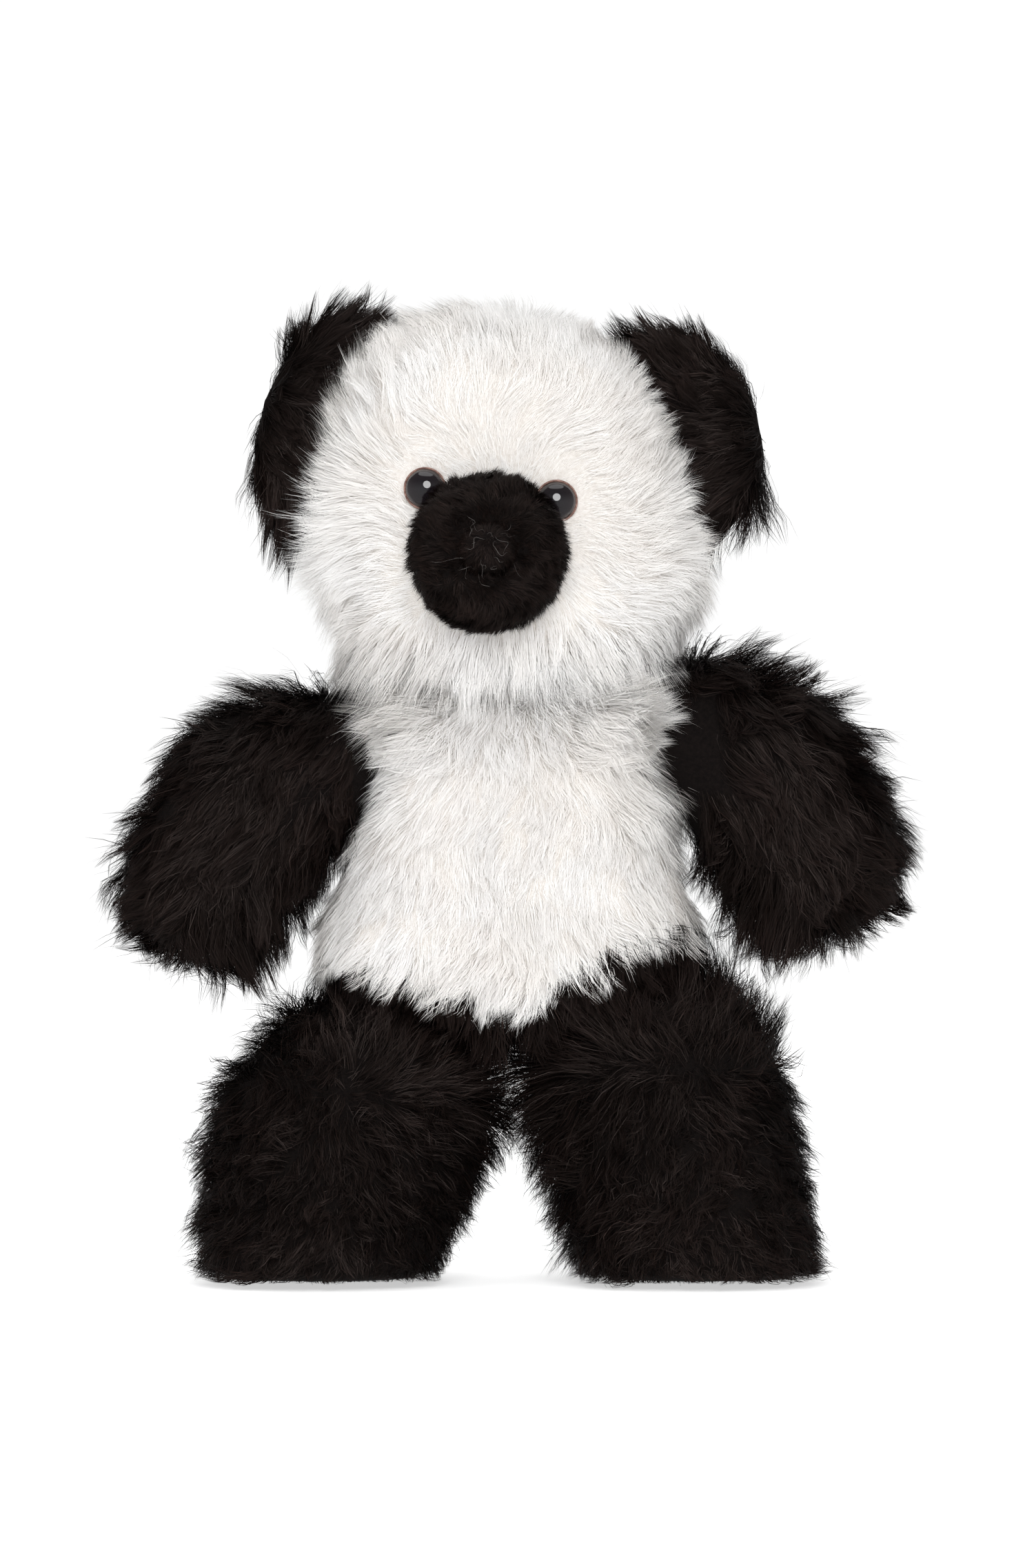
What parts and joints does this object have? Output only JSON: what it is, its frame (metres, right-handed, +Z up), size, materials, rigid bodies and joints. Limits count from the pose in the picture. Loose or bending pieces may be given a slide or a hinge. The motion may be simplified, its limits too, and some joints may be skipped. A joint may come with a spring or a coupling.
{
  "type": "plush panda",
  "caption": "Standing soft toy panda with long pile fur, sewn turning head, sewn arms and legs, folding ears, safety eyes and a clipped muzzle.",
  "frame": {"origin": "on the floor, under the middle of the toy's bounding box", "axes": "+Z up, the face looks along -Y, the toy's own left side is on +X"},
  "size_m": [0.2372, 0.1214, 0.3015],
  "materials": {
    "white_fur": "long silky pile",
    "black_fur": "long silky pile",
    "clipped_black_fur": "short dense pile",
    "filling": "loose fibre",
    "white_thread": "twisted",
    "black_thread": "twisted",
    "eye_plastic": "polished",
    "washer_plastic": "moulded"
  },
  "bodies": {
    "torso": {"torso_front_panel": "white_fur", "torso_back_right_panel": "white_fur", "torso_back_left_panel": "white_fur", "torso_stuffing": "filling", "back_closing_thread": "white_thread", "right_hip_thread": "black_thread", "left_hip_thread": "black_thread"},
    "neck": {"neck_stuffing": "filling", "neck_thread": "white_thread"},
    "head": {"head_gusset_panel": "white_fur", "head_right_panel": "white_fur", "head_left_panel": "white_fur", "head_stuffing": "filling", "right_eye": "eye_plastic", "right_eye_washer": "washer_plastic", "left_eye": "eye_plastic", "left_eye_washer": "washer_plastic", "muzzle_cover": "clipped_black_fur", "muzzle_stuffing": "filling", "nose": "clipped_black_fur"},
    "right_ear": {"right_ear_front_panel": "black_fur", "right_ear_back_panel": "black_fur"},
    "right_shoulder": {"right_shoulder_thread": "black_thread"},
    "right_arm": {"right_arm_front_panel": "black_fur", "right_arm_back_panel": "black_fur", "right_arm_stuffing": "filling"},
    "right_leg": {"right_leg_outer_panel": "black_fur", "right_leg_inner_panel": "black_fur", "right_sole_panel": "black_fur", "right_leg_stuffing": "filling"},
    "left_ear": {"left_ear_front_panel": "black_fur", "left_ear_back_panel": "black_fur"},
    "left_shoulder": {"left_shoulder_thread": "black_thread"},
    "left_arm": {"left_arm_front_panel": "black_fur", "left_arm_back_panel": "black_fur", "left_arm_stuffing": "filling"},
    "left_leg": {"left_leg_outer_panel": "black_fur", "left_leg_inner_panel": "black_fur", "left_sole_panel": "black_fur", "left_leg_stuffing": "filling"}
  },
  "joints": [
    {"name": "neck_turn", "type": "hinge", "parent": "torso", "child": "neck", "pos_m": [-0.00115, 0.01574, 0.187], "axis": [0, 0, 1], "range_deg": [-40, 40], "stiffness_Nm_per_rad": 0.25},
    {"name": "neck_nod", "type": "hinge", "parent": "neck", "child": "head", "pos_m": [-0.00115, 0.01574, 0.187], "axis": [1, 0, 0], "range_deg": [-14, 14], "stiffness_Nm_per_rad": 0.4},
    {"name": "right_shoulder_swing", "type": "hinge", "parent": "torso", "child": "right_shoulder", "pos_m": [-0.05515, 0.01574, 0.164], "axis": [1, 0, 0], "range_deg": [-90, 45], "stiffness_Nm_per_rad": 0.12},
    {"name": "right_shoulder_raise", "type": "hinge", "parent": "right_shoulder", "child": "right_arm", "pos_m": [-0.05515, 0.01574, 0.164], "axis": [0, 1, 0], "range_deg": [-2, 40], "stiffness_Nm_per_rad": 0.12},
    {"name": "left_shoulder_swing", "type": "hinge", "parent": "torso", "child": "left_shoulder", "pos_m": [0.05485, 0.01574, 0.175], "axis": [1, 0, 0], "range_deg": [-90, 45], "stiffness_Nm_per_rad": 0.12},
    {"name": "left_shoulder_raise", "type": "hinge", "parent": "left_shoulder", "child": "left_arm", "pos_m": [0.05485, 0.01574, 0.175], "axis": [0, -1, 0], "range_deg": [-2, 40], "stiffness_Nm_per_rad": 0.12},
    {"name": "right_hip_swing", "type": "hinge", "parent": "torso", "child": "right_leg", "pos_m": [-0.04915, 0.01774, 0.056], "axis": [1, 0, 0], "range_deg": [-50, 20], "stiffness_Nm_per_rad": 0.6},
    {"name": "left_hip_swing", "type": "hinge", "parent": "torso", "child": "left_leg", "pos_m": [0.04885, 0.01774, 0.064], "axis": [1, 0, 0], "range_deg": [-50, 20], "stiffness_Nm_per_rad": 0.6},
    {"name": "right_ear_fold", "type": "hinge", "parent": "head", "child": "right_ear", "pos_m": [-0.05685, 0.02174, 0.268], "axis": [-0.342, 0, -0.9397], "range_deg": [-30, 30], "stiffness_Nm_per_rad": 0.01},
    {"name": "left_ear_fold", "type": "hinge", "parent": "head", "child": "left_ear", "pos_m": [0.05135, 0.02174, 0.263], "axis": [0.342, 0, -0.9397], "range_deg": [-30, 30], "stiffness_Nm_per_rad": 0.01}
  ]
}
